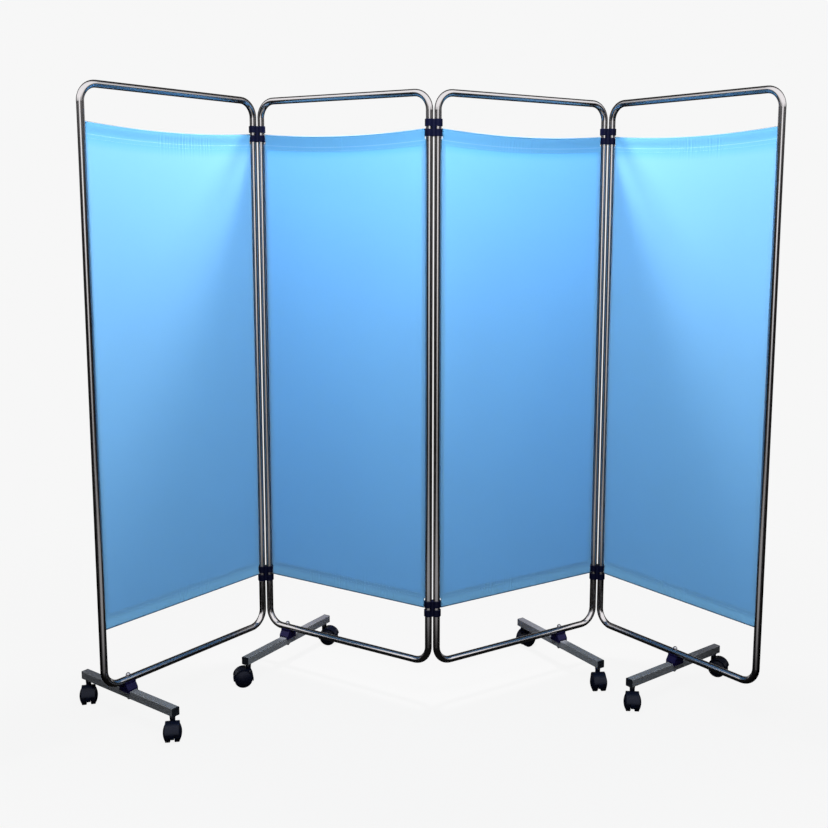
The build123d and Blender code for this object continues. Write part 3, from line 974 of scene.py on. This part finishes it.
OVERHEAD_LAMP = {
    "place": (0.02, 0.42, 2.40), "target": (0.02, 0.39, 0.0),
    "size": (0.3, 0.3), "colour": (1.0, 0.95, 0.96)}
FRONT_LAMP = {
    "place": (0.06, -1.20, 2.20), "target": (0.02, 0.10, 1.10),
    "size": (1.8, 0.8), "colour": (0.95, 1.0, 0.99)}
STEEP = 0.9      # from which upward share of its direction a lamp counts as pointing straight down
SENSOR_WIDTH = 36.0      # millimetres


def floor_disc(material):
    """A flat disc under the screen: rings whose radius grows as a power of the ring's share."""
    share = np.linspace(FLOOR_START_SHARE, 1, FLOOR_RINGS)[:, None]
    radius = FLOOR_RADIUS * share ** FLOOR_POWER
    turn = np.linspace(0, 2 * pi, FLOOR_SPOKES + 1)[None, :-1]
    points = np.stack(np.broadcast_arrays(radius * np.cos(turn), radius * np.sin(turn), 0.0), axis=-1)
    rings = np.arange(FLOOR_RINGS * FLOOR_SPOKES).reshape(FLOOR_RINGS, FLOOR_SPOKES)
    faces = ring_faces(rings[::-1]).tolist() + [rings[0].tolist()]
    new_object("studio_floor", points, faces, material)


def ray_kinds(tree):
    """Two shares: rays from the camera, straight or through something, and rays that show gloss."""
    path = tree.nodes.new("ShaderNodeLightPath").outputs
    seen = arithmetic(tree, "ADD", path["Is Camera Ray"], path["Is Transmission Ray"], True)
    return seen, path["Is Glossy Ray"]


def beside_away_up(tree, vector):
    """A vector's parts under the names that the steps of brightness use."""
    across, away, up = (parts(tree, vector)[axis] for axis in "XYZ")
    return {"beside": arithmetic(tree, "ABSOLUTE", across), "away": away, "up": up}


def floor_finish(studio):
    """Pale paper: it takes the screen's shadow, and its colour goes over into the background's.

    In gloss it is dark near the screen and at both sides, and paler in a stretch before it.
    """
    material, tree, shader = new_material(
        "pale_floor", Base_Color=opaque((studio.bounce,) * 3), Roughness=0.9)
    place = tree.nodes.new("ShaderNodeTexCoord").outputs["Object"]
    reach = add_node(tree, "ShaderNodeVectorMath", operation="LENGTH")
    tree.links.new(place, reach.inputs[0])
    distance = reach.outputs["Value"]
    seen, shiny = ray_kinds(tree)
    stretch = product_of_steps(tree, beside_away_up(tree, place), FLOOR_STRETCH)
    surface = shader.outputs[0]
    for share, strength in (
            (arithmetic(tree, "MULTIPLY", seen, rising(tree, distance, *FLOOR_SHARE)),
             rising(tree, distance, *FLOOR_GLOW)),
            (shiny, stretch)):
        light = add_node(tree, "ShaderNodeEmission", Color=opaque(studio.backdrop), Strength=strength)
        surface = mixed_surface(tree, share, surface, light.outputs[0])
    show_surface(tree, surface)
    return material


def studio_world(studio):
    """The room: plain to the camera, even fill light, and for gloss a studio of bright and dark sides.

    For gloss it is bright overhead and in front, pale in a low band behind, bright in a narrow window in
    front that dims below the horizon, and dark at both sides.
    """
    world = bpy.data.worlds.new("studio")
    bpy.context.scene.world = world
    world.use_nodes = True
    tree = world.node_tree
    tree.nodes.clear()
    direction = beside_away_up(tree, tree.nodes.new("ShaderNodeTexCoord").outputs["Generated"])
    ceiling, band, window = (
        product_of_steps(tree, direction, steps) for steps in (CEILING, LOW_BAND, WINDOW))
    bright = arithmetic(tree, "MAXIMUM", arithmetic(tree, "MAXIMUM", ceiling, band), window)
    gloss = arithmetic(tree, "ADD", bright, DARK_SIDES)
    seen, shiny = ray_kinds(tree)
    strength = balance(tree, seen, balance(tree, shiny, studio.fill, gloss), studio.backdrop[0])
    background = add_node(tree, "ShaderNodeBackground", Color=opaque((1.0, 1.0, 1.0)), Strength=strength)
    output = tree.nodes.new("ShaderNodeOutputWorld")
    tree.links.new(background.outputs[0], output.inputs["Surface"])


def lamp(name, power, place, target, size, colour):
    """A rectangular area lamp that points at a target and doesn't show, in gloss either."""
    data = bpy.data.lights.new(name, "AREA")
    data.shape = "RECTANGLE"
    data.size, data.size_y = size
    data.energy = power
    data.color = colour
    item = bpy.data.objects.new(name, data)
    item.visible_camera = False
    item.visible_glossy = False
    bpy.context.scene.collection.objects.link(item)
    back = np.array(place) - np.array(target)
    back /= np.linalg.norm(back)
    right = np.cross((0.0, 1.0, 0.0) if abs(back[2]) > STEEP else (0.0, 0.0, 1.0), back)
    right /= np.linalg.norm(right)
    turn = Matrix(np.stack((right, np.cross(back, right), back), axis=1).tolist())
    item.matrix_world = Matrix.Translation(place) @ turn.to_4x4()


def camera_axes(studio):
    """The camera's axes from its pitch, its turn to the right and its roll."""
    pitch, turn, roll = studio.camera_turn
    ahead = np.array((sin(turn) * cos(pitch), cos(turn) * cos(pitch), -sin(pitch)))
    level = np.array((cos(turn), -sin(turn), 0.0))
    over = np.cross(level, ahead)
    right = cos(roll) * level + sin(roll) * over
    above = cos(roll) * over - sin(roll) * level
    return Matrix(np.stack((right, above, -ahead), axis=1).tolist())


def set_up_camera(studio):
    """The camera at the photograph's viewing angle."""
    data = bpy.data.cameras.new("camera")
    data.sensor_width = SENSOR_WIDTH
    data.lens = studio.lens
    data.shift_x, data.shift_y = studio.camera_shift
    camera = bpy.data.objects.new("camera", data)
    bpy.context.scene.collection.objects.link(camera)
    camera.matrix_world = Matrix.Translation(studio.camera_place) @ camera_axes(studio).to_4x4()
    bpy.context.scene.camera = camera


class SCREEN_OT_studio(Operator):
    """Set up the floor, the lamps and the camera"""
    bl_idname = "ward_screen.studio"
    bl_label = "Studio"

    def execute(self, context):
        studio = context.scene.screen_studio
        context.scene.view_settings.view_transform = "Standard"
        floor_disc(floor_finish(studio))
        studio_world(studio)
        lamp("overhead_lamp", studio.overhead, **OVERHEAD_LAMP)
        lamp("front_lamp", studio.front, **FRONT_LAMP)
        set_up_camera(studio)
        return {"FINISHED"}


class SCREEN_PT_sidebar(Panel):
    """The steps of dressing the ward screen, in order"""
    bl_label = "Ward Screen"
    bl_space_type = "VIEW_3D"
    bl_region_type = "UI"
    bl_category = "Ward Screen"

    def draw(self, context):
        for operator in OPERATORS:
            self.layout.operator(operator.bl_idname)
        for group in SETTINGS:
            settings = getattr(context.scene, group)
            box = self.layout.box()
            for name in settings.bl_rna.properties.keys():
                if name not in ("rna_type", "name"):
                    box.prop(settings, name)


OPERATORS = (
    SCREEN_OT_frame_tubes,
    SCREEN_OT_cloths,
    SCREEN_OT_wires,
    SCREEN_OT_clips,
    SCREEN_OT_feet,
    SCREEN_OT_casters,
    SCREEN_OT_studio,
)
SETTINGS = {
    "screen_cloth": ClothSettings,
    "screen_metal": MetalSettings,
    "screen_plastic": PlasticSettings,
    "screen_studio": StudioSettings,
}


def register():
    """Adds the settings, the operators and the sidebar panel."""
    for cls in (*SETTINGS.values(), *OPERATORS, SCREEN_PT_sidebar):
        bpy.utils.register_class(cls)
    for name, group in SETTINGS.items():
        setattr(bpy.types.Scene, name, PointerProperty(type=group))


def unregister():
    """Takes them away again."""
    for name in SETTINGS:
        delattr(bpy.types.Scene, name)
    for cls in (SCREEN_PT_sidebar, *reversed(OPERATORS), *reversed(SETTINGS.values())):
        bpy.utils.unregister_class(cls)


def main():
    """Dresses the screen piece by piece."""
    register()
    for operator in OPERATORS:
        getattr(bpy.ops.ward_screen, operator.bl_idname.split(".")[1])()


if __name__ == "__main__":
    main()
